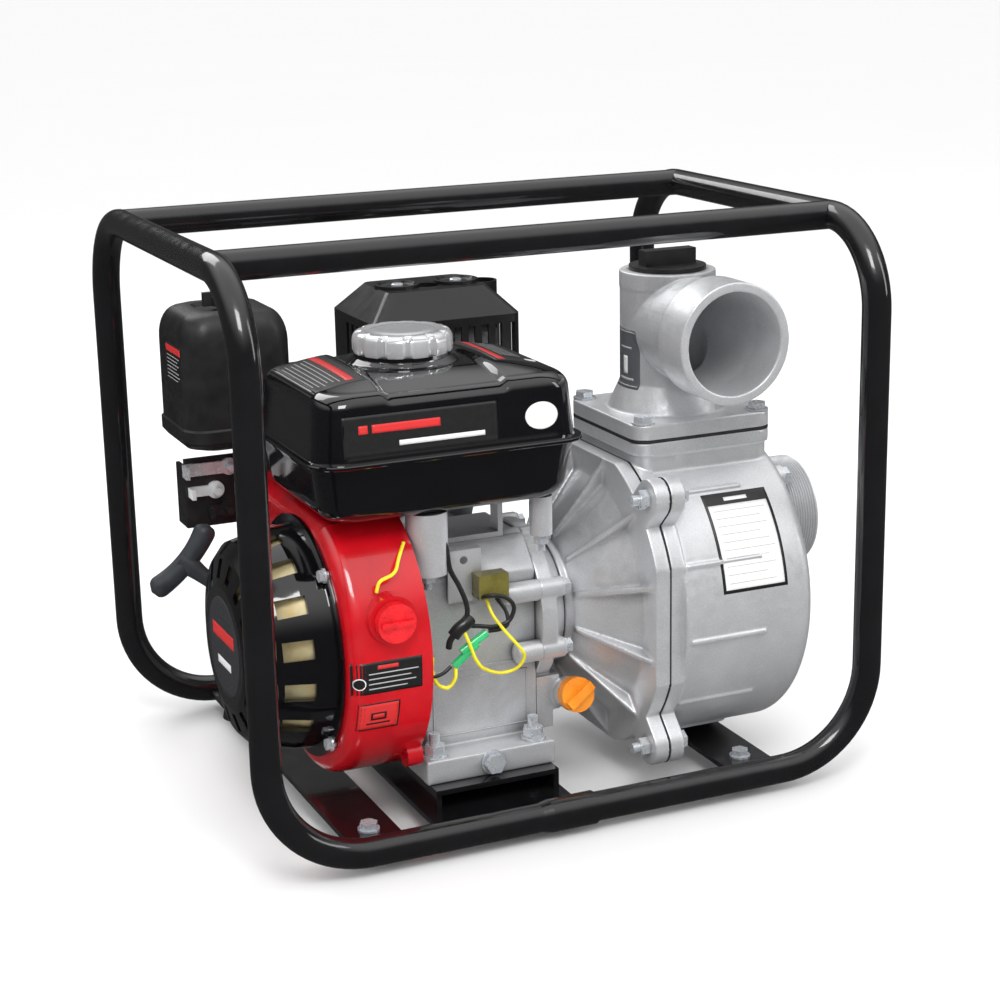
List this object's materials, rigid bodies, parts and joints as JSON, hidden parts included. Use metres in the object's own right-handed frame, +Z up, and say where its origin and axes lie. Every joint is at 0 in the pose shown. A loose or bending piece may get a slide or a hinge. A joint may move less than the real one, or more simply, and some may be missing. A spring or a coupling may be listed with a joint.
{
  "type": "engine-driven self-priming water pump",
  "caption": "Petrol engine driving a cast aluminium self-priming pump, carried in a tubular hoop frame with top rails and rubber feet.",
  "frame": {"origin": "centre of the carrying frame's footprint, at floor level under the rubber feet", "axes": "+X along the crankshaft from the recoil starter to the suction port, -Y towards the discharge port and stop switch, +Z up"},
  "size_m": [0.512, 0.4002, 0.445],
  "materials": {
    "black_frame_paint": "gloss black powder coat",
    "foot_rubber": "matt black rubber",
    "zinc_steel": "bright zinc plate",
    "cast_aluminium": "sand-cast, fine grain",
    "pressed_cover": "pressed steel",
    "orange_plastic": "orange, slightly glossy",
    "red_paint": "gloss red paint",
    "red_plastic": "gloss red",
    "black_plastic": "satin black moulding",
    "grey_handle": "dark grey moulding",
    "light_plastic": "light grey moulding",
    "black_gloss": "high gloss black paint",
    "satin_black": "satin heat-proof black",
    "gold_mesh": "yellow-passivated steel",
    "chrome_cap": "bright chrome plate",
    "spark_ceramic": "glazed",
    "cast_iron": "as cast",
    "machined_steel": "machined",
    "fan_plastic": "black moulding",
    "filter_foam": "foam over pleated paper",
    "rope": "braided",
    "olive_plastic": "olive moulding",
    "yellow_wire": "yellow insulation",
    "black_wire": "black insulation",
    "green_sleeve": "translucent green",
    "seal_carbon": "carbon and ceramic face seal"
  },
  "bodies": {
    "base": {"frame_left_hoop": "black_frame_paint", "frame_right_hoop": "black_frame_paint", "frame_joint_sleeves": "black_frame_paint", "top_rails": "black_frame_paint", "crossbars": "black_frame_paint", "engine_base_plate": "black_frame_paint", "engine_mount_channel": "black_frame_paint", "rubber_feet": "foot_rubber", "pump_gaskets": "foot_rubber", "frame_bolts": "zinc_steel", "engine_bolts": "zinc_steel", "pump_bolts": "zinc_steel", "brackets": "zinc_steel", "flap_hinge": "zinc_steel", "tank_spacers": "zinc_steel", "crankcase": "cast_aluminium", "crankcase_cover": "cast_aluminium", "cylinder_barrel": "cast_aluminium", "cylinder_head": "cast_aluminium", "pump_bracket": "cast_aluminium", "pump_casing": "cast_aluminium", "discharge_elbow": "cast_aluminium", "suction_port": "cast_aluminium", "carburettor": "cast_aluminium", "rocker_cover": "pressed_cover", "muffler": "pressed_cover", "fan_housing": "red_paint", "switch_body": "black_plastic", "air_cleaner_base": "black_plastic", "control_plate": "black_plastic", "fuel_tank": "black_gloss", "recoil_cover": "black_gloss", "muffler_guard": "satin_black", "recoil_mesh": "gold_mesh", "spark_plug": "spark_ceramic", "volute": "cast_iron", "air_filter": "filter_foam", "recoil_rope": "rope", "alert_unit": "olive_plastic", "yellow_leads": "yellow_wire", "black_lead": "black_wire", "bullet_sleeves": "green_sleeve", "shaft_seal": "seal_carbon"},
    "rotor": {"crankshaft": "machined_steel", "flywheel": "cast_iron", "cooling_fan": "fan_plastic", "starter_cup": "gold_mesh", "impeller": "cast_iron"},
    "pulley": {"recoil_pulley": "black_plastic"},
    "starter_grip": {"recoil_handle": "grey_handle"},
    "stop_switch": {"switch_knob": "red_plastic"},
    "filler_cap": {"fuel_cap": "chrome_cap"},
    "choke": {"choke_lever": "zinc_steel"},
    "throttle": {"throttle_lever": "light_plastic"},
    "fuel_valve": {"fuel_lever": "black_plastic"},
    "oil_cap": {"dipstick": "orange_plastic"},
    "prime_cap": {"priming_plug": "black_plastic"},
    "cleaner_lid": {"air_cleaner_cover": "black_plastic"},
    "cleaner_nut": {"cleaner_knob": "black_plastic"},
    "check_valve": {"check_flap": "foot_rubber"}
  },
  "joints": [
    {"name": "crank_spin", "type": "hinge", "parent": "base", "child": "rotor", "pos_m": [0, -0.06, 0.142], "axis": [1, 0, 0], "continuous": true},
    {"name": "recoil_pull", "type": "slide", "parent": "base", "child": "starter_grip", "axis": [-0.6606, 0.4504, 0.6006], "range_m": [0, 0.45], "stiffness_N_per_m": 20, "springref_m": -0.3, "deforming": ["recoil_rope"]},
    {"name": "recoil_turn", "type": "hinge", "parent": "base", "child": "pulley", "pos_m": [0, -0.06, 0.142], "axis": [1, 0, 0], "range_deg": [-600, 0]},
    {"name": "switch_turn", "type": "hinge", "parent": "base", "child": "stop_switch", "pos_m": [-0.139, -0.1645, 0.179], "axis": [0, -1, 0], "range_deg": [0, 90]},
    {"name": "fuel_cap_lift", "type": "slide", "parent": "base", "child": "filler_cap", "axis": [0, 0, 1], "range_m": [0, 0.05]},
    {"name": "choke_swing", "type": "hinge", "parent": "base", "child": "choke", "pos_m": [-0.178, 0.09, 0.238], "axis": [0, 1, 0], "range_deg": [-8, 20]},
    {"name": "throttle_swing", "type": "hinge", "parent": "base", "child": "throttle", "pos_m": [-0.19, 0.09, 0.22], "axis": [0, 1, 0], "range_deg": [-10, 25]},
    {"name": "fuel_valve_turn", "type": "hinge", "parent": "base", "child": "fuel_valve", "pos_m": [-0.181, 0.09, 0.203], "axis": [0, 1, 0], "range_deg": [-60, 5]},
    {"name": "oil_cap_pull", "type": "slide", "parent": "base", "child": "oil_cap", "axis": [0, -0.9781, 0.2079], "range_m": [0, 0.07]},
    {"name": "priming_plug_lift", "type": "slide", "parent": "base", "child": "prime_cap", "axis": [0, 0, 1], "range_m": [0, 0.04]},
    {"name": "cleaner_lid_lift", "type": "slide", "parent": "base", "child": "cleaner_lid", "axis": [0, 0, 1], "range_m": [0, 0.03]},
    {"name": "cleaner_nut_turn", "type": "hinge", "parent": "cleaner_lid", "child": "cleaner_nut", "pos_m": [-0.17, 0.118, 0.368], "axis": [0, 0, 1], "continuous": true},
    {"name": "check_valve_swing", "type": "hinge", "parent": "base", "child": "check_valve", "pos_m": [0.19, -0.06, 0.232], "axis": [0, 1, 0], "range_deg": [0, 28]}
  ],
  "couplings": [
    {"joint": "recoil_turn", "follows": "recoil_pull", "rad_per_m": -22.727}
  ]
}
